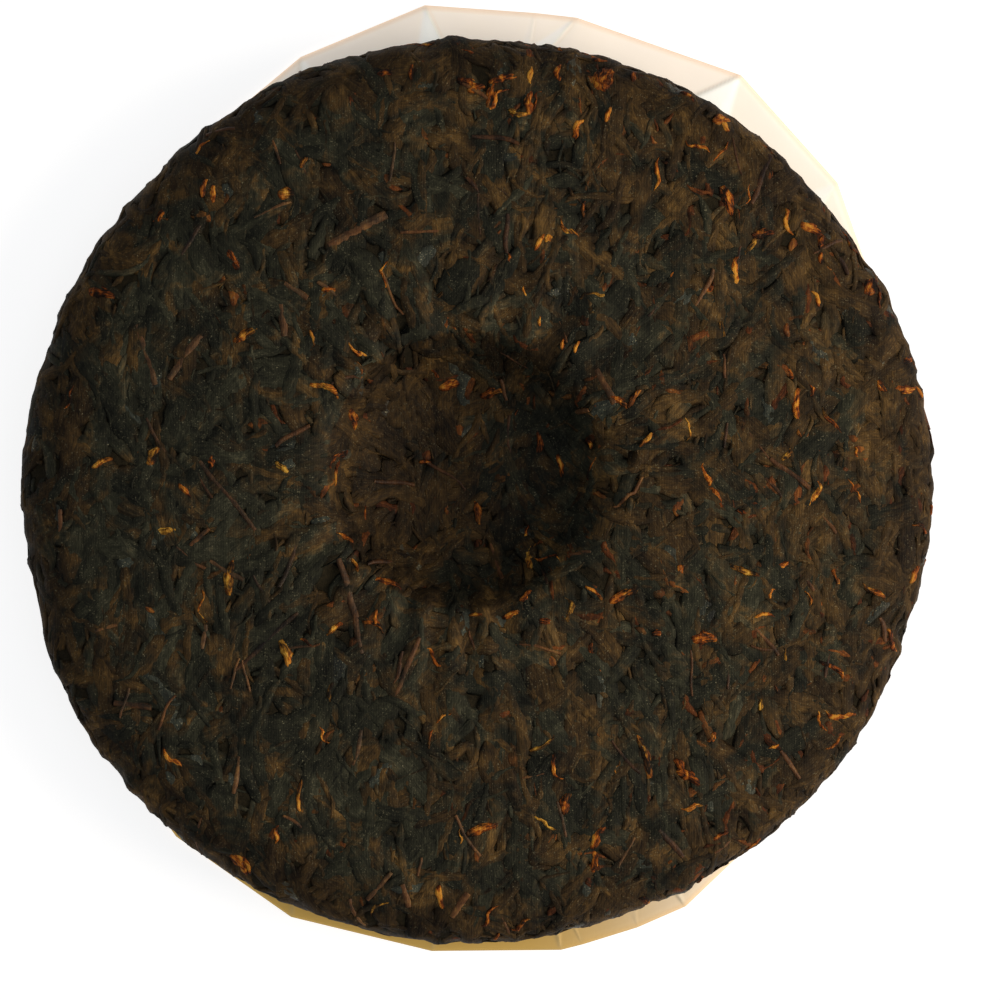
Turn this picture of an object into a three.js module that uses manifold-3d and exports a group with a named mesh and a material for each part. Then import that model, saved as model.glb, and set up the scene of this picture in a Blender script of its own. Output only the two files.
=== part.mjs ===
// A pressed cake of ripe pu erh tea, 200 mm across, lying on its domed face with the dimpled
// back up, on its own paper wrapper, which is pleated, emptied and folded flat under it.
// Millimetres, +Z up. The origin is on the cake's axis, in the flat underside of the wrapper.
import * as THREE from "three";
import { mergeVertices } from "three/addons/utils/BufferGeometryUtils.js";
import Module from "manifold-3d";

// Driving dimensions of the cake
const cakeRadius = 100;
const cakeThickness = 25; // from the domed face to the ring round the dimple
const dimpleRadius = 30; // at its lip
const dimpleDepth = 14.5;
const dimpleCentre = new THREE.Vector2(-2, 4.5); // hand-pressed, a little off the axis
const rimHeight = 9.5; // height of the widest line above the domed face
const footRadius = 42; // flat spot in the middle of the domed face

// Driving dimensions of the wrapper
const wrapperThickness = 2; // the gathered layers in the middle
const wrapperPuff = 4.5; // height of the soft fold near its edge
const wrapperEdge = 1.5;
const restGap = 0.3; // between the paper and the tea that lies on it
const pleatHeight = 0.45;
// Each pleat makes one corner of the paper: [azimuth in degrees, distance from the axis]
const wrapperCorners = [
  [5, 97], [22, 98], [40.5, 105], [57.5, 109], [78, 107], [83, 106.5], [96, 108],
  [112, 103.5], [129, 98.5], [147, 97.5], [165, 97], [184, 97], [206, 99.5], [229, 101],
  [246.5, 102.5], [264.5, 102], [281.5, 102.5], [295, 102], [310, 98.5], [328, 97.5], [346, 97],
];

// Relief pressed into the tea
const coreDetail = 12; // splits of each edge of the base icosahedron
const leafBump = 0.7; // height of the bumps that single leaves make
const creaseCount = 23; // folds of the pressing cloth, gathered at the dimple
const creaseDepth = 0.7;
const creaseReach = 34; // how far they run out from the lip

// Long stems that show on the back: [x, y, heading in degrees, length, diameter]
const stems = [
  [-27, -25.5, -76, 20.5, 1.8], [-72.5, 30, -71, 13, 2], [-64, 29.5, 56, 12, 1.8],
  [-54.5, -1, -49, 19.5, 1.7], [-26, 57.5, 30, 14.5, 2.6], [28.5, 23, -61, 9, 1.9],
  [-15, -38.5, 68, 14, 1.7], [69, 4, -35, 11, 1.8], [-3.5, -91, 59, 6.5, 2.2],
  [-15.5, -89, -75, 5.5, 2], [-46, -33, 44, 19, 1.7], [63, 69, 68, 13, 1.8],
  [-75.5, -47, -5, 8.5, 2], [43, -77.5, -47, 8.5, 1.9], [-39.5, 44, -32, 6, 1.8],
];
// Golden buds and curled tips that show on the back: [x, y, heading, length, width]
const buds = [
  [28, 91, 70, 7, 5], [11.5, 85.5, 90, 5.5, 2.2], [54, 82, 25, 5, 3], [6, 91, 15, 7, 2],
  [74, 58, -20, 6, 2.6], [-51, 34.5, 25, 5.5, 2.4], [-82.5, 44, -10, 6.5, 3], [-54.5, -19, 85, 8.5, 2.4],
  [-41.5, -35.5, -70, 7, 2.4], [-39, -67, 88, 7.5, 1.8], [1, -74, 20, 8, 2.4], [32.5, -22.5, 25, 8, 2.2],
  [50, -32, 5, 6, 3], [37.5, -58, -75, 11, 2.4], [47, -62.5, -30, 6.5, 2.6], [19.5, -68.5, 80, 5.5, 2.6],
  [26.5, -76, 65, 6, 2.2], [-71, 8, 60, 5, 2.6], [-52, -82, -50, 6, 2.2], [-26.5, 16, -60, 5.5, 2.4],
];
// Dark leaves that stand out of the body: [shortest, longest], [narrowest, widest]
const topLeafCount = 54;
const topLeafLength = [10, 17];
const flatLeafWidth = [4.5, 7];
const flatLeafThickness = 1.3;
const curledLeafWidth = [2.2, 3.4];
const curledLeafThickness = 1.6;
const rimLeafCount = 26;
const rimLeafLength = [8, 14];
const rimLeafWidth = [2.4, 4.6];
const rimLeafThickness = 1.4;
const budThickness = 1.7;
const pressedIn = 0.1; // how far a piece's middle lies above the body's surface

// Clean-up after the pieces are joined to the body
const smallestStep = 0.06; // finer steps are smoothed away
const crowdedGap = 0.01; // corners nearer to each other than this are drawn apart
const crowdedPull = 0.08;
const crowdedRounds = 4;
const seed = 357;

const upAxis = new THREE.Vector3(0, 0, 1);
const cakeBase = wrapperThickness + restGap;

function seededRandom(start) {
  let state = start;
  return () => {
    state = (state + 0x6d2b79f5) | 0;
    let mixed = Math.imul(state ^ (state >>> 15), 1 | state);
    mixed = (mixed + Math.imul(mixed ^ (mixed >>> 7), 61 | mixed)) ^ mixed;
    return ((mixed ^ (mixed >>> 14)) >>> 0) / 4294967296;
  };
}
const random = seededRandom(seed);
const between = (low, high) => low + (high - low) * random();

// Half section of the cake, from the dimple's floor over the back, round the rim and under
const halfSection = new THREE.SplineCurve([
  new THREE.Vector2(0, cakeThickness - dimpleDepth),
  new THREE.Vector2(dimpleRadius * 0.3, cakeThickness - dimpleDepth),
  new THREE.Vector2(dimpleRadius * 0.56, cakeThickness - dimpleDepth * 0.92),
  new THREE.Vector2(dimpleRadius * 0.78, cakeThickness - dimpleDepth * 0.66),
  new THREE.Vector2(dimpleRadius * 0.92, cakeThickness - dimpleDepth * 0.33),
  new THREE.Vector2(dimpleRadius * 1.04, cakeThickness - dimpleDepth * 0.1),
  new THREE.Vector2(dimpleRadius * 1.25, cakeThickness - 0.1),
  new THREE.Vector2(cakeRadius * 0.48, cakeThickness - 0.5),
  new THREE.Vector2(cakeRadius * 0.63, cakeThickness - 2),
  new THREE.Vector2(cakeRadius * 0.78, cakeThickness - 4.2),
  new THREE.Vector2(cakeRadius * 0.9, cakeThickness - 6.6),
  new THREE.Vector2(cakeRadius * 0.965, rimHeight + 6.3),
  new THREE.Vector2(cakeRadius * 0.994, rimHeight + 3.2),
  new THREE.Vector2(cakeRadius, rimHeight),
  new THREE.Vector2(cakeRadius * 0.99, rimHeight - 2.8),
  new THREE.Vector2(cakeRadius * 0.955, rimHeight - 4.9),
  new THREE.Vector2(cakeRadius * 0.87, rimHeight - 6.3),
  new THREE.Vector2(cakeRadius * 0.74, 1.5),
  new THREE.Vector2(cakeRadius * 0.58, 0.4),
  new THREE.Vector2(footRadius, 0),
  new THREE.Vector2(footRadius * 0.5, 0),
  new THREE.Vector2(0, 0),
]);
halfSection.arcLengthDivisions = 800;
const sectionLength = halfSection.getLength();

// Share of the half section's length at which it reaches a point of the back or of the rim
function shareWhere(test) {
  const steps = 2000;
  for (let i = 0; i <= steps; i++) {
    if (test(halfSection.getPointAt(i / steps))) {
      return i / steps;
    }
  }
  return 1;
}
const rimShare = shareWhere((p) => p.x >= cakeRadius * 0.9995);
const sectionSteps = 1200;
const backTable = Array.from({ length: sectionSteps + 1 }, (_, i) =>
  halfSection.getPointAt((i / sectionSteps) * rimShare),
);

// The back's height at a distance from the axis
function backHeight(distance) {
  const next = backTable.findIndex((p) => p.x >= distance);
  if (next < 0) {
    return rimHeight;
  }
  if (next === 0) {
    return backTable[0].y;
  }
  const [a, b] = [backTable[next - 1], backTable[next]];
  return a.y + ((b.y - a.y) * (distance - a.x)) / (b.x - a.x);
}

// The dimple and its ring lie off the axis, and the shift fades out towards the rim
function shiftAt(distance) {
  const fade = 1 - THREE.MathUtils.smoothstep(distance, dimpleRadius * 1.2, cakeRadius * 0.85);
  return dimpleCentre.clone().multiplyScalar(fade);
}

// Slow waves of a hand-shaped outline and the folds that the gathered cloth leaves
function handWave(azimuth) {
  return 0.5 * Math.sin(2 * azimuth + 0.7) + 0.35 * Math.sin(3 * azimuth + 2.1) +
    0.3 * Math.sin(7 * azimuth + 0.4) + 0.25 * Math.sin(12 * azimuth + 1.9);
}
function creaseAt(distance, azimuth) {
  const start = THREE.MathUtils.smoothstep(distance, dimpleRadius * 0.75, dimpleRadius * 1.05);
  const end = 1 - THREE.MathUtils.smoothstep(distance, dimpleRadius, dimpleRadius + creaseReach);
  const wander = azimuth + 0.16 * Math.sin(3 * azimuth) + 0.09 * Math.sin(5 * azimuth + 1);
  return creaseDepth * start * end * Math.sin(creaseCount * wander);
}

// A point of the smooth cake and its outward direction, from the share of the half section
function cakeSurface(share, azimuth) {
  const point = halfSection.getPointAt(share);
  const tangent = halfSection.getTangentAt(share);
  const shift = shiftAt(point.x);
  const under = share > rimShare;
  const wave = handWave(azimuth) * (point.x / cakeRadius) ** 3;
  const distance = point.x + (under ? wave * 0.8 : wave);
  const height = point.y + (under ? 0 : creaseAt(point.x, azimuth));
  const place = new THREE.Vector3(
    distance * Math.cos(azimuth) + (under ? 0 : shift.x),
    distance * Math.sin(azimuth) + (under ? 0 : shift.y),
    cakeBase + height,
  );
  const outward = new THREE.Vector3(
    -tangent.y * Math.cos(azimuth),
    -tangent.y * Math.sin(azimuth),
    tangent.x,
  );
  return { place, outward };
}

const wasm = await Module();
wasm.setup();

function positionsOnly(geometry) {
  geometry.deleteAttribute("normal");
  geometry.deleteAttribute("uv");
  return mergeVertices(geometry, 1e-4);
}

function toSolid(geometry) {
  const merged = positionsOnly(geometry);
  return new wasm.Manifold(new wasm.Mesh({
    numProp: 3,
    vertProperties: Float32Array.from(merged.attributes.position.array),
    triVerts: Uint32Array.from(merged.index.array),
  }));
}

// Where joins leave two corners nearly at one point, each is drawn a little towards its own
// neighbours, so that the surface doesn't pinch there
function spreadCrowdedCorners(geometry) {
  const position = geometry.attributes.position;
  const corners = Array.from({ length: position.count }, (_, i) =>
    new THREE.Vector3().fromBufferAttribute(position, i),
  );
  const neighbours = corners.map(() => new Set());
  const index = geometry.index.array;
  for (let i = 0; i < index.length; i += 3) {
    for (const [a, b] of [[0, 1], [1, 2], [2, 0]]) {
      neighbours[index[i + a]].add(index[i + b]);
      neighbours[index[i + b]].add(index[i + a]);
    }
  }
  for (let round = 0; round < crowdedRounds; round++) {
    const byX = corners.map((_, i) => i).sort((a, b) => corners[a].x - corners[b].x);
    const crowded = new Set();
    byX.forEach((a, i) => {
      for (let j = i + 1; j < byX.length && corners[byX[j]].x - corners[a].x < crowdedGap; j++) {
        if (corners[a].distanceTo(corners[byX[j]]) < crowdedGap) {
          crowded.add(a).add(byX[j]);
        }
      }
    });
    for (const i of crowded) {
      const middle = new THREE.Vector3();
      neighbours[i].forEach((n) => middle.add(corners[n]));
      corners[i].lerp(middle.divideScalar(neighbours[i].size), crowdedPull);
    }
  }
  corners.forEach((corner, i) => position.setXYZ(i, corner.x, corner.y, corner.z));
  return geometry;
}

function toGeometry(solid) {
  const mesh = solid.getMesh();
  const geometry = new THREE.BufferGeometry();
  geometry.setAttribute("position", new THREE.BufferAttribute(mesh.vertProperties, 3));
  geometry.setIndex(new THREE.BufferAttribute(mesh.triVerts, 1));
  spreadCrowdedCorners(geometry);
  geometry.computeVertexNormals();
  return geometry;
}

function moveVertices(geometry, move) {
  const position = geometry.attributes.position;
  const vertex = new THREE.Vector3();
  for (let i = 0; i < position.count; i++) {
    vertex.fromBufferAttribute(position, i);
    const moved = move(vertex);
    position.setXYZ(i, moved.x, moved.y, moved.z);
  }
  return geometry;
}

// The body: an even net of triangles wrapped over the section, with a bump or pit at each corner
function cakeCore() {
  const net = positionsOnly(new THREE.IcosahedronGeometry(1, coreDetail));
  return moveVertices(net, (direction) => {
    const polar = Math.acos(THREE.MathUtils.clamp(direction.z, -1, 1));
    const azimuth = Math.atan2(direction.y, direction.x);
    const onBack = polar <= Math.PI / 2;
    const spread = Math.SQRT2 * Math.sin((onBack ? polar : Math.PI - polar) / 2);
    const share = onBack ? spread * rimShare : 1 - spread * (1 - rimShare);
    const { place, outward } = cakeSurface(THREE.MathUtils.clamp(share, 0, 1), azimuth);
    // the domed face is only pitted, so that it keeps clear of the paper
    const facesDown = share > rimShare + 0.03;
    const bump = facesDown ? -between(0, leafBump * 0.4) : between(-leafBump, leafBump * 0.5);
    return place.addScaledVector(outward, bump);
  });
}

// A leaf: a thin wavy lens with a ridge on both faces, its length along X
function leaf(length, width, thickness, wave) {
  const shape = new THREE.SphereGeometry(0.5, 4, 5);
  shape.rotateZ(Math.PI / 2);
  shape.scale(length, width, thickness);
  const turns = between(2.2, 3.4);
  const start = between(0, 6);
  return moveVertices(shape, (v) => new THREE.Vector3(
    v.x,
    v.y + wave * width * 0.3 * Math.sin((v.x / length) * turns + start),
    v.z + wave * 0.3 * Math.sin((v.x / length) * turns * 2 + start),
  ));
}

// A stem: a slightly bowed stick that tapers, its length along X
function stem(length, diameter) {
  const sides = 6;
  const shape = new THREE.CylinderGeometry(diameter * 0.42, diameter / 2, length, sides, 3);
  shape.rotateZ(Math.PI / 2);
  const bow = between(-0.04, 0.04) * length;
  return moveVertices(shape, (v) => {
    const aside = bow * Math.cos((v.x / length) * Math.PI);
    return new THREE.Vector3(v.x, v.y + aside, v.z);
  });
}

// Lays a piece on the back: its plan is turned to the heading, and it follows the surface
function layOnBack(shape, x, y, heading, lift) {
  return moveVertices(shape, (v) => {
    const plan = new THREE.Vector3(v.x, v.y, 0).applyAxisAngle(upAxis, THREE.MathUtils.degToRad(heading));
    const [px, py] = [x + plan.x, y + plan.y];
    const shift = shiftAt(Math.hypot(px, py));
    const [dx, dy] = [px - shift.x, py - shift.y];
    const distance = Math.min(Math.hypot(dx, dy), cakeRadius * 0.97);
    const height = backHeight(distance) + creaseAt(distance, Math.atan2(dy, dx));
    return new THREE.Vector3(px, py, cakeBase + height + lift + v.z);
  });
}

// Lays a piece round the rim, at a share of the half section and an azimuth in radians
function layOnRim(shape, share, azimuth, heading, lift) {
  return moveVertices(shape, (v) => {
    const plan = new THREE.Vector3(v.x, v.y, 0).applyAxisAngle(upAxis, THREE.MathUtils.degToRad(heading));
    const at = THREE.MathUtils.clamp(share + plan.y / sectionLength, 0, 1);
    const { place, outward } = cakeSurface(at, azimuth + plan.x / cakeRadius);
    return place.addScaledVector(outward, v.z + lift);
  });
}

function teaCake() {
  const pieces = [];
  for (const [x, y, heading, length, diameter] of stems) {
    pieces.push(layOnBack(stem(length, diameter), x, y, heading, pressedIn));
  }
  for (const [x, y, heading, length, width] of buds) {
    pieces.push(layOnBack(leaf(length, width, budThickness, 1), x, y, heading, pressedIn * 1.5));
  }
  // Dark leaves, spread evenly over the back as the seeds of a sunflower are
  const goldenAngle = Math.PI * (3 - Math.sqrt(5));
  for (let i = 0; i < topLeafCount; i++) {
    const distance = cakeRadius * 0.94 * Math.sqrt((i + 0.5) / topLeafCount);
    const azimuth = i * goldenAngle;
    const flat = i % 3 === 0;
    const length = between(...topLeafLength);
    const width = between(...(flat ? flatLeafWidth : curledLeafWidth));
    const shape = leaf(length, width, flat ? flatLeafThickness : curledLeafThickness, 1);
    const [x, y] = [distance * Math.cos(azimuth), distance * Math.sin(azimuth)];
    pieces.push(layOnBack(shape, x, y, between(0, 180), pressedIn));
  }
  // Leaves that show round the rim and make its outline uneven
  for (let i = 0; i < rimLeafCount; i++) {
    const azimuth = ((i + between(0.2, 0.8)) / rimLeafCount) * Math.PI * 2;
    const share = rimShare + between(-0.03, 0.025);
    const shape = leaf(between(...rimLeafLength), between(...rimLeafWidth), rimLeafThickness, 0.6);
    pieces.push(layOnRim(shape, share, azimuth, between(-40, 40), pressedIn / 2));
  }
  let body = toSolid(cakeCore());
  for (const piece of pieces) {
    body = body.add(toSolid(piece));
  }
  // sealed pockets and loose scraps are separate shells, so only the largest shell stays
  const shells = body.simplify(smallestStep).decompose();
  return toGeometry(shells.sort((a, b) => b.volume() - a.volume())[0]);
}

// The wrapper: a low pillow of folded paper whose edge runs straight from pleat to pleat
function paperWrapper() {
  const linesPerPleat = 4;
  const count = wrapperCorners.length;
  const lineCount = count * linesPerPleat;
  const outline = wrapperCorners.map(([azimuth, distance]) => new THREE.Vector2(
    distance * Math.cos(THREE.MathUtils.degToRad(azimuth)),
    distance * Math.sin(THREE.MathUtils.degToRad(azimuth)),
  ));
  const section = [
    [0, 0], [0.5, 0], [0.985, 0], [1, wrapperEdge * 0.5], [0.992, wrapperEdge],
    [0.96, wrapperEdge + (wrapperPuff - wrapperEdge) * 0.65], [0.925, wrapperPuff],
    [0.82, wrapperPuff * 0.7], [0.7, wrapperThickness * 1.15], [0.5, wrapperThickness],
    [0.25, wrapperThickness], [0, wrapperThickness],
  ];
  const lathe = new THREE.LatheGeometry(section.map(([q, z]) => new THREE.Vector2(q, z)), lineCount);
  lathe.rotateX(Math.PI / 2);
  const geometry = positionsOnly(lathe);
  return moveVertices(geometry, (v) => {
    const share = Math.hypot(v.x, v.y);
    const turn = (Math.atan2(v.y, v.x) / (2 * Math.PI) + 1) % 1;
    const line = Math.round(turn * lineCount) % lineCount;
    const corner = Math.floor(line / linesPerPleat);
    const step = line % linesPerPleat;
    // a pleat starts as a point at its corner and grows wider towards the middle
    const foldWidth = 0.1 + 0.22 * (1 - share);
    const along = [0, foldWidth, 0.5, 1 - foldWidth][step];
    const onEdge = outline[corner].clone().lerp(outline[(corner + 1) % count], along);
    const onTop = v.z > wrapperEdge * 0.9 && share > 0.6;
    const foldLift = [0.35, 1, 0, 0][step] * THREE.MathUtils.smoothstep(1 - share, 0, 0.1);
    const lift = onTop ? pleatHeight * foldLift : 0;
    return new THREE.Vector3(onEdge.x * share, onEdge.y * share, v.z + lift);
  });
}

function namedMesh(name, geometry, color, roughness) {
  const mesh = new THREE.Mesh(geometry, new THREE.MeshStandardMaterial({ color, roughness, metalness: 0 }));
  mesh.name = name;
  return mesh;
}

const part = new THREE.Group();
part.add(namedMesh("tea_cake", teaCake(), 0x2e261c, 0.75));
part.add(namedMesh("paper_wrapper", paperWrapper(), 0xf3ead9, 0.9));

export default part;
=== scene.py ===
import math
from functools import partial

import bpy
import numpy as np
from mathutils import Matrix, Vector, noise


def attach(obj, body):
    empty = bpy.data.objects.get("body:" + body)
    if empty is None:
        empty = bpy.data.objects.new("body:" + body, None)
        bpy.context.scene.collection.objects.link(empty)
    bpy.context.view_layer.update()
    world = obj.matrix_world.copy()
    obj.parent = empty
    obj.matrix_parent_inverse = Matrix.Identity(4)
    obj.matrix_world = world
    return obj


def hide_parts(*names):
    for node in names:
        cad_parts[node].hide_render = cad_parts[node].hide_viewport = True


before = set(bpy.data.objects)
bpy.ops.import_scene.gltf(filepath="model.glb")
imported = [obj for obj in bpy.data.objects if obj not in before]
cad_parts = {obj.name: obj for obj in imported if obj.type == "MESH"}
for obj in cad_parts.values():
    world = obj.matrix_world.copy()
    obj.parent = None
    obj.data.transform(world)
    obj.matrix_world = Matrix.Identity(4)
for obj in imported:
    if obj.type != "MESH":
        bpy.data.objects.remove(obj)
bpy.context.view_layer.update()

# A pressed cake of ripe pu erh tea on its own folded paper wrapper, seen from straight above.
# Leaf, stem and bud pieces lie pressed into a dark body of finer leaf.
mm = 0.001
scene = bpy.context.scene


def linearColour(hexColour, alpha=1.0):
    channels = [int(hexColour[i:i + 2], 16) / 255 for i in (1, 3, 5)]
    linear = [c / 12.92 if c <= 0.04045 else ((c + 0.055) / 1.055) ** 2.4 for c in channels]
    return (*linear, alpha)


def addNode(tree, kind, settings=None, inputs=None):
    # settings: names and values, or an operation alone. inputs: values or sockets, in the order of the
    # node's sockets or by socket name. Gives the node's first output
    node = tree.nodes.new(kind if "Node" in kind else "ShaderNode" + kind)
    if isinstance(settings, str):
        settings = {"operation": settings}
    for name, value in (settings or {}).items():
        setattr(node, name, value)
    shown = [socket for socket in node.inputs if socket.enabled]
    pairs = inputs.items() if isinstance(inputs, dict) else enumerate(inputs or [])
    for key, value in pairs:
        socket = shown[key] if isinstance(key, int) else next(s for s in shown if s.name == key)
        if isinstance(value, bpy.types.NodeSocket):
            tree.links.new(value, socket)
        else:
            socket.default_value = value
    return next((socket for socket in node.outputs if socket.enabled), None)


def newObject(name, vertices, faces, smooth=True):
    mesh = bpy.data.meshes.new(name)
    mesh.from_pydata([tuple(v) for v in vertices], [], [tuple(f) for f in faces])
    mesh.polygons.foreach_set("use_smooth", [smooth] * len(mesh.polygons))
    mesh.update()
    made = bpy.data.objects.new(name, mesh)
    scene.collection.objects.link(made)
    return made


def storeNumbers(mesh, name, values, kind="FLOAT"):
    attribute = mesh.attributes.new(name, kind, "POINT")
    field = "value" if kind == "FLOAT" else "vector"
    attribute.data.foreach_set(field, np.asarray(values, dtype=np.float32).ravel())


# Camera: far above, so almost without perspective; its frame spans 220.3 mm at the cake's widest line
view = {
    "frameWidth": 220.3 * mm,
    "height": 4.0,  # above the widest line
    "widestLine": 11.8 * mm,
    "middle": (5.3 * mm, -1.9 * mm),  # where the frame's middle falls
    "sensor": 36.0,
}
cameraData = bpy.data.cameras.new("camera")
cameraData.sensor_width = view["sensor"]
cameraData.lens = view["sensor"] * view["height"] / view["frameWidth"]
camera = bpy.data.objects.new("camera", cameraData)
camera.location = (*view["middle"], view["widestLine"] + view["height"])
scene.collection.objects.link(camera)
scene.camera = camera


# Studio: lit white floor, one large warm light from the right, weak cool light from above and all round
studio = {
    "floorSide": 3.0,
    "floorColour": "#A9A9A9",
    "floorGlow": 0.81,  # the table is a lit white sheet
    "keyAzimuth": -8.0,
    "keyElevation": 26.0,
    "keyDistance": 1.3,
    "keySide": 0.8,
    "keyPower": 19.5,
    "keyColour": "#FFF1DE",
    "topPower": 2.5,
    "topSide": 1.4,
    "topHeight": 1.6,
    "topColour": "#F6FAFF",
    "skyColour": "#F2F5FA",
    "skyStrength": 0.36,
}


def areaLight(name, place, side, power, colour):
    data = bpy.data.lights.new(name, "AREA")
    data.shape = "SQUARE"
    data.size = side
    data.energy = power
    data.color = linearColour(colour)[:3]
    light = bpy.data.objects.new(name, data)
    light.location = place
    light.rotation_euler = (-Vector(place)).to_track_quat("-Z", "Y").to_euler()
    scene.collection.objects.link(light)


keyTurn, keyRise = math.radians(studio["keyAzimuth"]), math.radians(studio["keyElevation"])
areaLight(
    "keyLight",
    [
        studio["keyDistance"] * math.cos(keyRise) * math.cos(keyTurn),
        studio["keyDistance"] * math.cos(keyRise) * math.sin(keyTurn),
        studio["keyDistance"] * math.sin(keyRise),
    ],
    studio["keySide"], studio["keyPower"], studio["keyColour"],
)
areaLight("topLight", [0.0, 0.0, studio["topHeight"]], studio["topSide"], studio["topPower"], studio["topColour"])
sky = bpy.data.worlds.new("sky")
sky.use_nodes = True
sky.node_tree.nodes["Background"].inputs["Color"].default_value = linearColour(studio["skyColour"])
sky.node_tree.nodes["Background"].inputs["Strength"].default_value = studio["skyStrength"]
scene.world = sky
scene.view_settings.view_transform = "Standard"

half = studio["floorSide"] / 2
floor = newObject("floor", [(-half, -half, 0), (half, -half, 0), (half, half, 0), (-half, half, 0)], [(0, 1, 2, 3)])
print("camera, lights and floor")


# The cake's form: a half section, shifted at the dimple, waved at the rim, creased round the lip
cake = {
    "radius": 100 * mm,
    "thickness": 25 * mm,
    "dimpleRadius": 30 * mm,
    "dimpleDepth": 14.5 * mm,
    "dimpleCentre": (-2 * mm, 4.5 * mm),
    "rimHeight": 9.5 * mm,
    "footRadius": 42 * mm,
    "base": 2.3 * mm,  # height of the domed face's flat spot above the floor
    "creaseCount": 23,
    "creaseDepth": 0.7 * mm,
    "creaseReach": 34 * mm,
    "leafDepth": 0.4 * mm,  # room for the leaves, which lie on the body
    "lines": 420,  # round the axis
    "rows": 200,  # from the dimple's middle to the foot's
    "swell": 0.5 * mm,  # height of the slow unevenness of the pressed mass
    "swellSize": 9 * mm,
    "wrinkle": 0.45 * mm,  # height of the folds that run on from leaf to leaf
    "wrinkleSize": 4 * mm,
    "scallop": 0.9 * mm,  # small notches along the rim
    "scallopSize": 3.4 * mm,
    "grit": 0.35 * mm,
    "gritSize": 1.7 * mm,
    "sunk": 0.1 * mm,  # the bare body lies this far under the leaves
}


def smoothStep(value, low, high):
    t = np.clip((value - low) / (high - low), 0, 1)
    return t * t * (3 - 2 * t)


def halfSection():
    c = cake
    t, d, r, rim, lip = c["thickness"], c["dimpleDepth"], c["radius"], c["rimHeight"], c["dimpleRadius"]
    knots = np.array([
        (0, t - d), (lip * 0.3, t - d), (lip * 0.56, t - d * 0.92), (lip * 0.78, t - d * 0.66),
        (lip * 0.92, t - d * 0.33), (lip * 1.04, t - d * 0.1), (lip * 1.25, t - 0.1 * mm),
        (r * 0.48, t - 0.5 * mm), (r * 0.63, t - 2 * mm), (r * 0.78, t - 4.2 * mm), (r * 0.9, t - 6.6 * mm),
        (r * 0.965, rim + 6.3 * mm), (r * 0.994, rim + 3.2 * mm), (r, rim), (r * 0.99, rim - 2.8 * mm),
        (r * 0.955, rim - 4.9 * mm), (r * 0.87, rim - 6.3 * mm), (r * 0.74, 1.5 * mm), (r * 0.58, 0.4 * mm),
        (c["footRadius"], 0), (c["footRadius"] * 0.5, 0), (0, 0),
    ])
    ends = np.vstack([knots[:1], knots, knots[-1:]])
    t = np.linspace(0, 1, 60, endpoint=False)[:, None]
    pieces = []
    for a, b, c1, d1 in zip(ends[:-3], ends[1:-2], ends[2:-1], ends[3:]):
        pieces.append(0.5 * (2 * b + (c1 - a) * t + (2 * a - 5 * b + 4 * c1 - d1) * t**2
                             + (3 * b - a - 3 * c1 + d1) * t**3))
    curve = np.vstack([*pieces, knots[-1:]])
    curve[:, 0] = np.clip(curve[:, 0], 0, None)
    run = np.r_[0, np.cumsum(np.hypot(*np.diff(curve, axis=0).T))]
    return curve, run / run[-1], run[-1]


sectionCurve, sectionShare, sectionLength = halfSection()
rimShare = sectionShare[np.argmax(sectionCurve[:, 0])]


def creaseHeight(distance, azimuth):
    lip = cake["dimpleRadius"]
    start = smoothStep(distance, lip * 0.75, lip * 1.05)
    end = 1 - smoothStep(distance, lip, lip + cake["creaseReach"])
    wander = azimuth + 0.16 * np.sin(3 * azimuth) + 0.09 * np.sin(5 * azimuth + 1)
    return cake["creaseDepth"] * start * end * np.sin(cake["creaseCount"] * wander)


def dimpleFade(distance):
    # how far the back follows the dimple's shift off the axis, 1 at the dimple and 0 near the rim
    return 1 - smoothStep(distance, cake["dimpleRadius"] * 1.2, cake["radius"] * 0.85)


def cakePlaces(share, azimuth):
    distance = np.interp(share, sectionShare, sectionCurve[:, 0])
    height = np.interp(share, sectionShare, sectionCurve[:, 1])
    under = share > rimShare
    fade = dimpleFade(distance)
    wave = (0.5 * np.sin(2 * azimuth + 0.7) + 0.35 * np.sin(3 * azimuth + 2.1)
            + 0.3 * np.sin(7 * azimuth + 0.4) + 0.25 * np.sin(12 * azimuth + 1.9))
    wave = wave * mm * (distance / cake["radius"]) ** 3 * np.where(under, 0.8, 1.0)
    height = height + np.where(under, 0, creaseHeight(distance, azimuth))
    shift = np.where(under, 0, fade)
    return np.stack([
        (distance + wave) * np.cos(azimuth) + shift * cake["dimpleCentre"][0],
        (distance + wave) * np.sin(azimuth) + shift * cake["dimpleCentre"][1],
        cake["base"] + height,
    ], axis=-1)


def pushOut(mesh, amount):
    # moves each vertex along its normal by amount, one number for each vertex
    count = len(mesh.vertices)
    places, normals = np.empty(count * 3), np.empty(count * 3)
    mesh.vertices.foreach_get("co", places)
    mesh.vertices.foreach_get("normal", normals)
    places = places.reshape(-1, 3) + normals.reshape(-1, 3) * np.asarray(amount)[:, None]
    mesh.vertices.foreach_set("co", places.ravel())
    mesh.update()
    return places


def bumps(places, size, seed):
    return np.array([noise.noise(Vector(p) / size + Vector((seed, 0, 0))) for p in places])


def ringFaces(rows, lines):
    # joins the rows of a ring, and closes them with the two points that follow the last row
    faces = []
    for row in range(rows - 1):
        for line in range(lines):
            a, b = row * lines + line, row * lines + (line + 1) % lines
            faces.append((a, a + lines, b + lines, b))
    last = (rows - 1) * lines
    for line in range(lines):
        following = (line + 1) % lines
        faces.append((rows * lines, line, following))
        faces.append((rows * lines + 1, last + following, last + line))
    return faces


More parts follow.
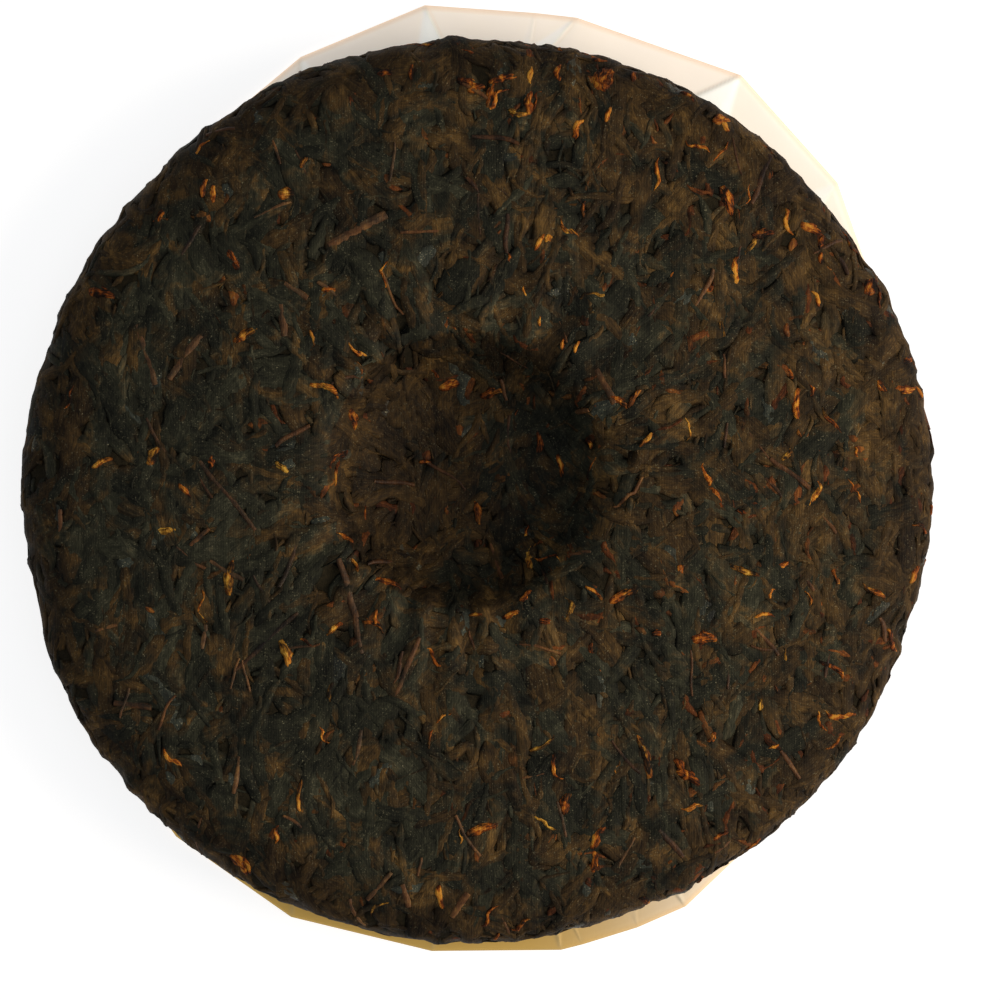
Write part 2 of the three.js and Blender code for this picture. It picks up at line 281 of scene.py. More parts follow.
def cakeBody():
    lines, rows = cake["lines"], cake["rows"]
    shares = np.linspace(0, 1, rows + 1)[1:-1]
    azimuths = np.arange(lines) / lines * 2 * np.pi
    ring = cakePlaces(*np.meshgrid(shares, azimuths, indexing="ij"))
    top = cakePlaces(np.array([0.0]), np.array([0.0]))
    bottom = cakePlaces(np.array([1.0]), np.array([0.0]))
    vertices = np.vstack([ring.reshape(-1, 3), top, bottom])
    body = newObject("pressedCore", vertices, ringFaces(len(shares), lines))
    everyShare = np.r_[np.repeat(shares, lines), 0, 1]
    onBack = 1 - smoothStep(everyShare, rimShare + 0.10, rimShare + 0.13)
    storeNumbers(body.data, "leafCover", onBack)
    # the side toward the light: more brown leaves and buds lie there, and the leaf leans to brown, partly as painted
    # warm light
    turn = np.arctan2(vertices[:, 1], vertices[:, 0]) - math.radians(8)
    reach = np.hypot(vertices[:, 0], vertices[:, 1]) / cake["radius"]
    storeNumbers(body.data, "warmSide", np.clip(0.45 + 0.5 * reach * np.cos(turn), 0, 1) * onBack)
    swell = cake["swell"] * bumps(vertices, cake["swellSize"], 3)
    wrinkle = -cake["wrinkle"] * np.abs(bumps(vertices, cake["wrinkleSize"], 5))
    atRim = np.exp(-((everyShare - rimShare) / 0.07) ** 2)
    scallop = cake["scallop"] * atRim * bumps(vertices * (1, 1, 0.3), cake["scallopSize"], 14)
    pushOut(body.data, swell + wrinkle + scallop - cake["leafDepth"])
    return body


body = cakeBody()
print("cake body", len(body.data.vertices))


# Finishes of the tea
def newMaterial(name, roughness, level):
    material = bpy.data.materials.new(name)
    material.use_nodes = True
    shader = material.node_tree.nodes["Principled BSDF"]
    shader.inputs["Roughness"].default_value = roughness
    shader.inputs["Specular IOR Level"].default_value = level
    return material, material.node_tree, shader


def toneRamp(tree, value, colours):
    # an even ramp from the first sRGB colour to the last
    ramp = addNode(tree, "ShaderNodeValToRGB", {}, [value]).node
    stops = ramp.color_ramp.elements
    while len(stops) < len(colours):
        stops.new(0.5)
    for i, colour in enumerate(colours):
        stops[i].position = i / (len(colours) - 1)
        stops[i].color = linearColour(colour)
    return ramp.outputs["Color"]


leafFinishes = {
    # Ripe pressed leaf blade: heaped and fermented almost black, then steamed and pressed under
    # cloth. Matt, grey green to brown in drifts that run over several leaves, with painted shade between the leaves
    "ripeLeafBlade": {
        "cool": ["#11110D", "#191A14", "#22221A", "#2B2B20", "#38372A", "#4C4936"],
        "brown": ["#140F0A", "#211910", "#2F2416", "#3E2F1B", "#513D21", "#6A502B"],
        "leafShare": 0.32, "cloud": 0.15, "streak": 0.2, "brownShift": -0.13, "ownHue": 0.4,
        "roughness": 0.65, "level": 0.06, "paintedGlints": 0.5, "wrinkle": 0.5 * mm, "wrinkleDepth": 0.1 * mm,
    },
    # Brown blade: less darkened, red brown to tan, more open grain
    "brownLeafBlade": {
        "cool": ["#0E0B08", "#20170E", "#332413", "#452F18", "#5B3E1E", "#7C5A2C"],
        "brown": ["#120A06", "#29170C", "#402211", "#573018", "#6E3F1C", "#8C5A26"],
        "leafShare": 0.4, "cloud": 0.2, "streak": 0.2, "brownShift": 0.0, "ownHue": 0.25,
        "roughness": 0.66, "level": 0.06, "paintedGlints": 0.4, "wrinkle": 0.45 * mm, "wrinkleDepth": 0.1 * mm,
    },
    # Golden bud: a leaf tip with fine down that stays orange and gold where it isn't stained dark
    "goldenBudDown": {
        "cool": ["#17110A", "#2E200E", "#523713", "#7B551B", "#9E7227", "#C0933B"],
        "brown": ["#190E07", "#381C0C", "#5E2D0E", "#864413", "#A65E1B", "#C0832E"],
        "leafShare": 0.42, "cloud": 0.5, "streak": 0.42, "brownShift": -0.1, "ownHue": 0.6,
        "roughness": 0.7, "level": 0.08, "paintedGlints": 0.5, "wrinkle": 0.4 * mm, "wrinkleDepth": 0.1 * mm,
    },
    # Stalk: woody, smooth from pressing, red brown to grey brown, with lengthwise fibres
    "driedStalkBark": {
        "cool": ["#120D09", "#2A1F14", "#43311F", "#5C462D", "#7C6140"],
        "brown": ["#170E08", "#311E10", "#4C2F18", "#684324", "#876033"],
        "leafShare": 0.5, "cloud": 0.2, "streak": 0.15, "brownShift": 0.0, "ownHue": 0.3,
        "roughness": 0.55, "level": 0.15, "paintedGlints": 0.3, "wrinkle": 0.3 * mm, "wrinkleDepth": 0.06 * mm,
    },
    # Leaf with painted sheen: flat blades in a pale grey that stands in for sheen, with many painted glints in fine
    # points
    "sheenPaintedLeafBlade": {
        "cool": ["#12130F", "#20221B", "#2D3027", "#3A3D33", "#4C4E42"],
        "brown": ["#14120C", "#26221A", "#383326", "#474233", "#5A5442"],
        "leafShare": 0.25, "cloud": 0.2, "streak": 0.2, "brownShift": -0.15, "ownHue": 0.1,
        "roughness": 0.5, "level": 0.15, "paintedGlints": 1.6, "wrinkle": 0.45 * mm, "wrinkleDepth": 0.08 * mm,
    },
}
leafGrain = {
    "streakStretch": 0.18,  # streaks run along the leaf
    "cloudSize": 2.4 * mm,  # lighter and darker clouds within one leaf
    "cloudStretch": (1, 0.6, 1),
    "driftSize": 8 * mm,  # grey green and brown drifts over several leaves
    "driftSwing": 0.27,  # how far they lighten and darken
    "driftEdge": (0.48, 0.74),
    "noiseSpan": (0.3, 0.7),  # what a noise seldom passes
    "warmShare": 0.2,  # how far the side toward the light leans to brown: partly more brown leaf there, partly painted warm light
    "warmMiddle": 0.45,
    "glintSize": 0.36 * mm,  # painted glints: fine pale points of caught light, drawn as coarse as they show
    "glintEdge": (0.62, 0.8),
    "paintedGlintColour": "#9A9272",
    "glintCloudEdge": (0.4, 0.65),  # painted glints gather where a cloud is light
    "leastGlint": 0.1,
    "paintedEdgeShade": 0.46,  # painted shade: how dark a leaf is where its edge dives under
    "edgeRise": (-0.3, 1.0),
    # painted highlight along the crown of each leaf
    "paintedCrownLight": 1.02,
}
pressCloth = {  # imprint of the cloth, drawn as coarse as it shows
    "thread": 0.55 * mm,
    "depth": 0.03 * mm,
    "wander": 1.5,
    "strength": 0.8,
}
# painted shade in the dimple, where the knot of the cloth was: strong on its left and middle, slight at its right wall.
# The leaf there leans browner on its left. Towards the rim the leaf is darker and browner too
cakeShades = {
    "dimpleEdge": (31.1 * mm, 29.9 * mm),
    "shadeReach": (6 * mm, 24 * mm),  # right of the dimple's middle
    "dimplePaintedShade": (0.43, 0.13),  # on its left and at its right wall
    "brownReach": (-22 * mm, 8 * mm),
    "dimpleBrown": (0.42, 0.02),
    "rimEdge": (84 * mm, 97 * mm),
    "rimShade": 0.3,
    "rimBrown": 0.22,
}
smooth = {"interpolation_type": "SMOOTHSTEP"}
colours = {"data_type": "RGBA"}


def paintedShadeAndBrown(tree, where):
    # gives how light the leaf is at its place: painted shade in the dimple, darker towards the rim; and how far it
    # leans to brown
    add = partial(addNode, tree)
    flat = add("VectorMath", "MULTIPLY", [where, (1, 1, 0)])
    reach = add("VectorMath", "LENGTH", [flat]).node.outputs["Value"]
    rim = add("MapRange", smooth, [reach, *cakeShades["rimEdge"], 0.0, 1.0])
    fromDimple = add("VectorMath", "SUBTRACT", [flat, (*cake["dimpleCentre"], 0)])
    distance = add("VectorMath", "LENGTH", [fromDimple]).node.outputs["Value"]
    inside = add("MapRange", smooth, [distance, *cakeShades["dimpleEdge"], 0.0, 1.0])
    sideways = add("SeparateXYZ", {}, [fromDimple])
    side = add("MapRange", smooth, [sideways, *cakeShades["brownReach"], *cakeShades["dimpleBrown"]])
    depth = add("MapRange", smooth, [sideways, *cakeShades["shadeReach"], *cakeShades["dimplePaintedShade"]])
    # painted shade in the dimple
    shaded = add("Math", "MULTIPLY", [inside, depth])
    light = add("Math", "SUBTRACT", [1.0, shaded])
    light = add("Math", "MULTIPLY_ADD", [rim, -cakeShades["rimShade"], light])
    brown = add("Math", "MULTIPLY", [inside, side])
    brown = add("Math", "MULTIPLY_ADD", [rim, cakeShades["rimBrown"], brown])
    return light, brown


def leafMaterial(name, look):
    material, tree, shader = newMaterial(name, look["roughness"], look["level"])
    add = partial(addNode, tree)
    tone, warm, rise = [add("Attribute", {"attribute_name": held}).node.outputs["Fac"]
                        for held in ("leafTone", "warmSide", "leafRise")]
    place = add("Attribute", {"attribute_name": "leafPlace"}).node.outputs["Vector"]
    where = add("TexCoord").node.outputs["Object"]
    # leafPlace is millimetres along and across the piece, with its own seed as the third number
    fine = mm / look["wrinkle"]
    streakPlace = add("VectorMath", "MULTIPLY", [place, (fine * leafGrain["streakStretch"], fine, 1)])
    cloudPlace = add("VectorMath", "MULTIPLY", [where, leafGrain["cloudStretch"]])
    streaks, clouds, drifts, glintNoise = [
        add("TexNoise", {}, {"Vector": at, "Scale": scale, "Detail": detail, "Roughness": rough, "Distortion": twist})
        for at, scale, detail, rough, twist in (
            (streakPlace, 1.0, 3.0, 0.6, 0.8), (cloudPlace, 1 / leafGrain["cloudSize"], 3.0, 0.55, 1.2),
            (where, 1 / leafGrain["driftSize"], 4.0, 0.6, 0.7), (where, 1 / leafGrain["glintSize"], 1.0, 0.5, 0.0),
        )
    ]
    # lightness: the piece's own share, its clouds and streaks, and the drifts
    share = look["leafShare"]
    lightness = add("Math", "MULTIPLY_ADD", [tone, share, 0.5 - share / 2])
    for pattern, swing in ((clouds, look["cloud"]), (streaks, look["streak"]), (drifts, leafGrain["driftSwing"])):
        swung = add("MapRange", {"clamp": False}, [pattern, *leafGrain["noiseSpan"], -swing, swing])
        lightness = add("Math", "ADD", [lightness, swung])
    # hue: the side toward the light (partly painted warm light), the piece's own number, its place and the drifts
    warmShare = leafGrain["warmShare"]
    lean = add("Math", "MULTIPLY_ADD", [warm, warmShare, look["brownShift"] - warmShare * leafGrain["warmMiddle"]])
    seed = add("SeparateXYZ", {}, [place]).node.outputs["Z"]
    ownHue = add("Math", "FRACT", [seed])
    lean = add("Math", "MULTIPLY_ADD", [ownHue, look["ownHue"], lean])
    # painted shade of the dimple, the darker rim, and their lean to brown
    placePaintedShade, placeBrown = paintedShadeAndBrown(tree, where)
    lean = add("Math", "ADD", [placeBrown, lean])
    hue = add("Math", "ADD", [drifts, lean])
    brownAmount = add("MapRange", smooth, [hue, *leafGrain["driftEdge"], 0.0, 1.0])
    base = add("Mix", colours, {"Factor": brownAmount, "A": toneRamp(tree, lightness, look["cool"]),
                                "B": toneRamp(tree, lightness, look["brown"])})
    # painted glints: pale points standing in for light caught by the leaf
    glintAmount = add("MapRange", {}, [glintNoise, *leafGrain["glintEdge"], 0.0, look["paintedGlints"]])
    glintCloud = add("MapRange", {}, [clouds, *leafGrain["glintCloudEdge"], leafGrain["leastGlint"], 1.0])
    glintAmount = add("Math", {"operation": "MULTIPLY", "use_clamp": True}, [glintAmount, glintCloud])
    glinted = add("Mix", colours, {"Factor": glintAmount, "A": base, "B": linearColour(leafGrain["paintedGlintColour"])})
    # painted shade where a leaf's edge dives under, and a painted highlight on its crown
    paintedEdgeAndCrown = add("MapRange", smooth, [rise, *leafGrain["edgeRise"], leafGrain["paintedEdgeShade"], leafGrain["paintedCrownLight"]])
    light = add("Math", "MULTIPLY", [placePaintedShade, paintedEdgeAndCrown])
    shaded = add("VectorMath", "SCALE", {"Vector": glinted, "Scale": light})
    tree.links.new(shaded, shader.inputs["Base Color"])
    weave = 0.0
    for direction, share in (("X", 1.0), ("Y", 0.5)):
        thread = add("TexWave", {"bands_direction": direction}, {
            "Vector": where, "Scale": math.pi / (10 * pressCloth["thread"]), "Distortion": pressCloth["wander"],
            "Detail": 1.0,
        }).node.outputs["Fac"]
        weave = add("Math", "MULTIPLY_ADD", [thread, share, weave])
    bump = add("Bump", {}, {"Strength": pressCloth["strength"], "Distance": pressCloth["depth"], "Height": weave})
    bump = add("Bump", {}, {"Strength": 1.0, "Distance": look["wrinkleDepth"], "Height": streaks, "Normal": bump})
    tree.links.new(bump, shader.inputs["Normal"])
    return material


finishes = {name: leafMaterial(name, look) for name, look in leafFinishes.items()}


# Body of fine leaf dust between the pieces: crumbly, unlit, almost black
core = {"crumbSize": 1.1 * mm, "crumbDepth": 0.4 * mm, "tones": ["#0E0C09", "#1C1911", "#2A2418", "#383020"]}


def coreMaterial():
    material, tree, shader = newMaterial("crumbledLeafBody", 0.85, 0.05)
    add = partial(addNode, tree)
    where = add("TexCoord").node.outputs["Object"]
    crumbs = add("TexNoise", {}, {"Vector": where, "Scale": 1 / core["crumbSize"], "Detail": 5.0, "Roughness": 0.65})
    colour = toneRamp(tree, crumbs, core["tones"])
    # painted shade of the dimple and the darker rim, as on the leaves
    shaded = add("VectorMath", "SCALE", {"Vector": colour, "Scale": paintedShadeAndBrown(tree, where)[0]})
    tree.links.new(shaded, shader.inputs["Base Color"])
    bump = add("Bump", {}, {"Strength": 1.0, "Distance": core["crumbDepth"], "Height": crumbs})
    tree.links.new(bump, shader.inputs["Normal"])
    return material


# Leaf forms: closed pieces with their length, width and height as shares, shaped once they lie on the cake
def newForm(name, vertices, faces, along, across, rise):
    form = newObject(name, vertices, faces)
    for title, values in (("along", along), ("across", across), ("rise", rise)):
        storeNumbers(form.data, title, values)
    return form


def leafForm(name, along, across, plump):
    # the edge dives into the mass, and the underside is a deep keel, so that it stays hidden where the
    # piece lies in a hollow
    keelDepth, edgeDepth = 4, 0.8
    vertices, rise = [], []
    for u in along:
        for v in across:
            inner = abs(u) < 0.5 and abs(v) < 0.5
            height = (1 - abs(2 * v) ** plump) * (1 - abs(2 * u) ** (plump * 2)) if inner else -edgeDepth
            vertices.append((u * mm, v * mm, height * mm))
            rise.append(height)
    width = len(across)
    faces = []
    for i in range(len(along) - 1):
        for j in range(width - 1):
            a = i * width + j
            faces.append((a, a + width, a + width + 1, a + 1))
    share = [u for u in along for v in across]
    aside = [v for u in along for v in across]
    keel = {}
    for i in range(1, len(along) - 1):
        keel[i] = len(vertices)
        vertices.append((along[i] * mm, 0.0, -keelDepth * mm))
        share.append(along[i])
        aside.append(0.0)
        rise.append(-keelDepth)
    last = len(along) - 1
    for i in range(1, last - 1):
        left, right = i * width, i * width + width - 1
        faces.append((left, keel[i], keel[i + 1], left + width))
        faces.append((keel[i], right, right + width, keel[i + 1]))
    for j in range(width - 1):
        faces.append((j, j + 1, keel[1]))
        faces.append((last * width + j + 1, last * width + j, keel[last - 1]))
    faces.append((0, keel[1], width))
    faces.append((width - 1, 2 * width - 1, keel[1]))
    faces.append(((last - 1) * width, keel[last - 1], last * width))
    faces.append((last * width - 1, (last + 1) * width - 1, keel[last - 1]))
    return newForm(name, vertices, faces, share, aside, rise)


def stalkForm(name, along, sides):
    vertices, faces, share, aside, rise = [], [], [], [], []
    for u in along:
        for side in range(sides):
            turn = 2 * math.pi * side / sides
            share.append(u)
            aside.append(0.5 * math.cos(turn))
            rise.append(0.5 * math.sin(turn))
            vertices.append((u * mm, aside[-1] * mm, rise[-1] * mm))
    for i in range(len(along) - 1):
        for side in range(sides):
            a, b = i * sides + side, i * sides + (side + 1) % sides
            faces.append((a, a + sides, b + sides, b))
    faces.append(list(range(sides)))
    faces.append(list(range(len(vertices) - 1, len(vertices) - 1 - sides, -1)))
    return newForm(name, vertices, faces, share, aside, rise)


# Marks: pieces that the photograph shows at a certain place, as points that carry their sizes
def backHeight(distance):
    back = sectionShare <= rimShare
    return np.interp(distance, sectionCurve[back, 0], sectionCurve[back, 1]) + cake["base"]


def markPoints(name, rows):
    rows = np.array(rows, dtype=float).reshape(-1, 6)
    x, y = rows[:, 0] * mm, rows[:, 1] * mm
    fade = dimpleFade(np.hypot(x, y))
    distance = np.hypot(x - fade * cake["dimpleCentre"][0], y - fade * cake["dimpleCentre"][1])
    made = newObject(name, np.c_[x, y, backHeight(distance)], [])
    storeNumbers(made.data, "leafHeading", np.radians(rows[:, 2]))
    storeNumbers(made.data, "leafLength", rows[:, 3] * mm)
    storeNumbers(made.data, "leafWidth", rows[:, 4] * mm)
    storeNumbers(made.data, "leafTone", rows[:, 5])
    return made


# what a layer's settings hold: lengths in mm, ranges in mm that each piece draws from, and plain numbers
layerLengths = ("apart", "thickness", "slope", "roll", "ragged", "raggedSize", "ridgePitch", "wave")
layerRanges = {"length": ("shortest", "longest"), "width": ("narrowest", "widest"), "lift": ("lowest", "highest")}
layerShares = ("perSquareMetre", "bow", "sway", "tip", "ridge", "radial")
layerSizes = (*layerLengths, *sum(layerRanges.values(), ()), *layerShares)
leafLean = {
    "upright": 0.5,  # how far pieces away from the dimple lean to the y axis, 0 to 1
    "outside": (30 * mm, 80 * mm),  # from the dimple, where pieces stop pointing to it
    "inside": (18 * mm, 28 * mm),  # and where they begin to
}
taperPower = 1.6  # how late a piece narrows to its tip
swayMiddle = 0.45


def leafLayerTree():
    tree = bpy.data.node_groups.new("leafLayer", "GeometryNodeTree")
    tree.is_modifier = True
    add = partial(addNode, tree)
    for name, kind in (("Body", "Geometry"), ("form", "Object"), ("marks", "Object"), ("finish", "Material"),
                       ("seed", "Int"), ("cover", "String"), *((size, "Float") for size in layerSizes)):
        tree.interface.new_socket(name, in_out="INPUT", socket_type="NodeSocket" + kind)
    tree.interface.new_socket("Geometry", in_out="OUTPUT", socket_type="NodeSocketGeometry")
    given = tree.nodes.new("NodeGroupInput").outputs

    # numbers drawn for each piece, and attributes read back from the points and the pieces
    drawn = {}
    for step, (name, low, high) in enumerate((
        ("leafLength", given["shortest"], given["longest"]), ("leafWidth", given["narrowest"], given["widest"]),
        ("leafTone", 0.0, 1.0), ("swing", -1.0, 1.0), ("leafLift", given["lowest"], given["highest"]),
        ("leafSlope", -1.0, 1.0), ("leafRoll", -1.0, 1.0), ("leafBow", -1.0, 1.0), ("leafSeed", 0.0, 90.0),
        ("leafSway", -1.0, 1.0),
    )):
        seed = add("Math", "ADD", [given["seed"], step + 1.0])
        drawn[name] = add("FunctionNodeRandomValue", {"data_type": "FLOAT"}, {"Min": low, "Max": high, "Seed": seed})
    held = {}
    for kind, names in (
        ("FLOAT", ("leafHeading", "leafLength", "leafWidth", "leafLift", "leafSlope", "leafRoll", "leafBow", "leafSeed",
                   "leafSway", "along", "across", "rise", "warmSide")),
        ("FLOAT_VECTOR", ("leafX", "leafY", "leafCentre")),
    ):
        for name in names:
            held[name] = add("GeometryNodeInputNamedAttribute", {"data_type": kind}, [name])

    # spread over the body, each piece with a size and heading of its own
    cover = add("GeometryNodeInputNamedAttribute", {"data_type": "FLOAT"}, [given["cover"]])
    spread = add("GeometryNodeDistributePointsOnFaces", {"distribute_method": "POISSON"}, {
        "Mesh": given["Body"], "Distance Min": given["apart"], "Density Max": given["perSquareMetre"],
        "Density Factor": cover, "Seed": given["seed"],
    })
    place = add("GeometryNodeInputPosition")
    fromDimple = add("VectorMath", "SUBTRACT", [place, (*cake["dimpleCentre"], 0)])
    flat = add("SeparateXYZ", {}, [fromDimple]).node.outputs
    outward = add("Math", "ARCTAN2", [flat["Y"], flat["X"]])
    distance = add("VectorMath", "LENGTH", [fromDimple]).node.outputs["Value"]
    outside = add("MapRange", {}, [distance, *leafLean["outside"], given["radial"], 0.0])
    inside = add("MapRange", {}, [distance, *leafLean["inside"], 0.0, 1.0])
    near = add("Math", "MULTIPLY", [outside, inside])
    # a piece has no front, so the two leanings are mixed as double angles
    away = add("Math", "SUBTRACT", [1.0, near])
    twice = add("Math", "MULTIPLY", [outward, 2.0])
    upward = add("Math", "MULTIPLY", [away, -leafLean["upright"]])
    parts = []
    for operation, rest in (("SINE", 0.0), ("COSINE", upward)):
        turned = add("Math", operation, [twice])
        parts.append(add("Math", "MULTIPLY_ADD", [near, turned, rest]))
    leaning = add("Math", "ARCTAN2", parts)
    strength = add("Math", "MAXIMUM", [near, leafLean["upright"]])
    squared = add("Math", "MULTIPLY", [drawn["swing"], drawn["swing"]])
    less = add("Math", "SUBTRACT", [squared, 1.0])
    gathered = add("Math", "MULTIPLY_ADD", [strength, less, 1.0])
    swung = add("Math", "MULTIPLY", [drawn["swing"], gathered])
    halved = add("Math", "MULTIPLY", [leaning, 0.5])
    drawn["leafHeading"] = add("Math", "MULTIPLY_ADD", [swung, math.pi / 2, halved])
    for name in ("leafLength", "leafWidth", "leafTone", "leafHeading"):
        spread = add("GeometryNodeStoreNamedAttribute", {"data_type": "FLOAT"},
                     {"Geometry": spread, "Name": name, "Value": drawn[name]})

    # marked places join the spread ones
    marks = add("GeometryNodeObjectInfo", {}, {"Object": given["marks"]}).node.outputs["Geometry"]
    joined = add("GeometryNodeJoinGeometry").node
    tree.links.new(add("GeometryNodeMeshToPoints", {}, {"Mesh": marks}), joined.inputs[0])
    tree.links.new(spread, joined.inputs[0])
    points = joined.outputs[0]
    normal = add("GeometryNodeInputNormal")
    outOfBody = add("GeometryNodeSampleNearestSurface", {"data_type": "FLOAT_VECTOR"},
                    {"Mesh": given["Body"], "Value": normal, "Sample Position": place})
    upright = add("FunctionNodeAlignRotationToVector", {"axis": "Z"}, {"Vector": outOfBody})
    cosine = add("Math", "COSINE", [held["leafHeading"]])
    sine = add("Math", "SINE", [held["leafHeading"]])
    minusSine = add("Math", "MULTIPLY", [sine, -1.0])
    axes = {"leafCentre": place}
    for name, x, y in (("leafX", cosine, sine), ("leafY", minusSine, cosine)):
        direction = add("CombineXYZ", {}, [x, y])
        axes[name] = add("FunctionNodeRotateVector", {}, [direction, upright])
    later = ("leafLift", "leafSlope", "leafRoll", "leafBow", "leafSeed", "leafSway")
    for kind, values in (("FLOAT_VECTOR", axes), ("FLOAT", {name: drawn[name] for name in later})):
        for name, value in values.items():
            points = add("GeometryNodeStoreNamedAttribute", {"data_type": kind},
                         {"Geometry": points, "Name": name, "Value": value})
    form = add("GeometryNodeObjectInfo", {}, {"Object": given["form"]}).node.outputs["Geometry"]
    pieces = add("GeometryNodeInstanceOnPoints", {}, {"Points": points, "Instance": form})
    pieces = add("GeometryNodeRealizeInstances", {}, [pieces])

    # plan of each piece, flat beside the body: length, tapered width, bow and a ragged outline
    u, v, rise, seed = held["along"], held["across"], held["rise"], held["leafSeed"]
    uu = add("Math", "MULTIPLY", [u, u])
    tipward = add("Math", "MULTIPLY", [uu, 4.0])  # 0 in the middle of a piece, 1 at both tips
    narrowing = add("Math", "POWER", [tipward, taperPower])
    tipLess = add("Math", "SUBTRACT", [given["tip"], 1.0])
    taper = add("Math", "MULTIPLY_ADD", [narrowing, tipLess, 1.0])
    x = add("Math", "MULTIPLY", [u, held["leafLength"]])
    widened = add("Math", "MULTIPLY", [v, held["leafWidth"]])
    tapered = add("Math", "MULTIPLY", [widened, taper])
    bend, sway = [
        add("Math", "MULTIPLY", [add("Math", "MULTIPLY", [held[own], given[most]]), held["leafLength"]])
        for own, most in (("leafBow", "bow"), ("leafSway", "sway"))
    ]
    y = add("Math", "MULTIPLY_ADD", [tipward, bend, tapered])
    doubleBend = add("Math", "SUBTRACT", [tipward, swayMiddle])
    doubleBend = add("Math", "MULTIPLY", [doubleBend, u])
    y = add("Math", "MULTIPLY_ADD", [doubleBend, sway, y])
    scaleUp = add("Math", "DIVIDE", [1.0, given["raggedSize"]])
    local = add("CombineXYZ", {}, [x, y])
    localScaled = add("VectorMath", "SCALE", {"Vector": local, "Scale": scaleUp})
    seedUp = add("CombineXYZ", {}, [seed, 0.0, seed])
    noisePlace = add("VectorMath", "ADD", [localScaled, seedUp])
    warp = add("TexNoise", {}, {"Vector": noisePlace, "Scale": 1.0, "Detail": 1.0}).node.outputs["Color"]
    centred = add("VectorMath", "SUBTRACT", [warp, (0.5, 0.5, 0.5)])
    ragged = add("VectorMath", "SCALE", {"Vector": centred, "Scale": given["ragged"]})
    plan = add("VectorMath", "ADD", [local, ragged])
    planAxes = add("SeparateXYZ", {}, [plan]).node.outputs
    where = held["leafCentre"]
    for axis, reach in (("leafX", planAxes["X"]), ("leafY", planAxes["Y"])):
        step = add("VectorMath", "SCALE", {"Vector": held[axis], "Scale": reach})
        where = add("VectorMath", "ADD", [where, step])

    # height over the body: the piece's own place in the pile, its slopes, its ridges and slow waves
    slope = add("Math", "MULTIPLY", [held["leafSlope"], given["slope"]])
    roll = add("Math", "MULTIPLY", [held["leafRoll"], given["roll"]])
    height = add("Math", "MULTIPLY_ADD", [slope, u, held["leafLift"]])
    height = add("Math", "MULTIPLY_ADD", [roll, v, height])
    ridgeTurn = add("Math", "DIVIDE", [planAxes["Y"], given["ridgePitch"]])
    ridgeTurn = add("Math", "MULTIPLY_ADD", [ridgeTurn, 2 * math.pi, seed])
    ridges = add("Math", "SINE", [ridgeTurn])
    ridges = add("Math", "MULTIPLY_ADD", [ridges, given["ridge"], 1.0])
    thick = add("Math", "MULTIPLY", [rise, given["thickness"]])
    height = add("Math", "MULTIPLY_ADD", [thick, ridges, height])
    warpHeight = add("SeparateXYZ", {}, [centred]).node.outputs["Z"]
    waves = add("Math", "MULTIPLY", [warpHeight, given["wave"]])
    height = add("Math", "ADD", [waves, height])
    under = {}
    for name, kind, value in (("normal", "FLOAT_VECTOR", normal), ("place", "FLOAT_VECTOR", place),
                              ("warmSide", "FLOAT", held["warmSide"])):
        under[name] = add("GeometryNodeSampleNearestSurface", {"data_type": kind},
                          {"Mesh": given["Body"], "Value": value, "Sample Position": where})
    offset = add("VectorMath", "SCALE", {"Vector": under["normal"], "Scale": height})
    final = add("VectorMath", "ADD", [under["place"], offset])

    # what the finishes read: millimetres along and across with the seed, and the side of the cake
    inMillimetres = add("VectorMath", "SCALE", {"Vector": local, "Scale": 1 / mm})
    seedOnly = add("CombineXYZ", {}, [0.0, 0.0, seed])
    marked = add("VectorMath", "ADD", [inMillimetres, seedOnly])
    for name, kind, value in (("leafPlace", "FLOAT_VECTOR", marked), ("warmSide", "FLOAT", under["warmSide"]),
                              ("leafRise", "FLOAT", rise)):
        pieces = add("GeometryNodeStoreNamedAttribute", {"data_type": kind},
                     {"Geometry": pieces, "Name": name, "Value": value})
    pieces = add("GeometryNodeSetPosition", {}, {"Geometry": pieces, "Position": final})
    pieces = add("GeometryNodeSetMaterial", {}, {"Geometry": pieces, "Material": given["finish"]})
    add("NodeGroupOutput", {}, [pieces])
    return tree


leafLayer = leafLayerTree()


def layPieces(name, finish, form, marks, settings):
    carrier = body.copy()
    carrier.data = body.data.copy()
    scene.collection.objects.link(carrier)
    marked = markPoints(name + "Marks", marks)
    modifier = carrier.modifiers.new(name, "NODES")
    modifier.node_group = leafLayer
    values = {"form": form, "marks": marked, "finish": finish, "cover": "leafCover", **settings}
    values.update({size: settings[size] * mm for size in layerLengths})
    for title, ends in layerRanges.items():
        values.update({end: settings[title][i] * mm for i, end in enumerate(ends)})
    for item in leafLayer.interface.items_tree:
        if item.in_out == "INPUT" and item.name in values:
            modifier[item.identifier] = values[item.name]
    shown = carrier.evaluated_get(bpy.context.evaluated_depsgraph_get())
    mesh = bpy.data.meshes.new_from_object(shown)
    mesh.name = name
    read = ("leafTone", "leafPlace", "leafRise")  # by the finishes
    for title in [attribute.name for attribute in mesh.attributes]:
        if title in ("along", "across", "rise") or title.startswith("leaf") and title not in read:
            mesh.attributes.remove(mesh.attributes[title])
    made = bpy.data.objects.new(name, mesh)
    scene.collection.objects.link(made)
    bpy.data.objects.remove(carrier)
    bpy.data.objects.remove(marked)
    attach(made, "root")
    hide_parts("tea_cake")
    mesh.calc_loop_triangles()
    print(name, len(mesh.loop_triangles), "triangles")


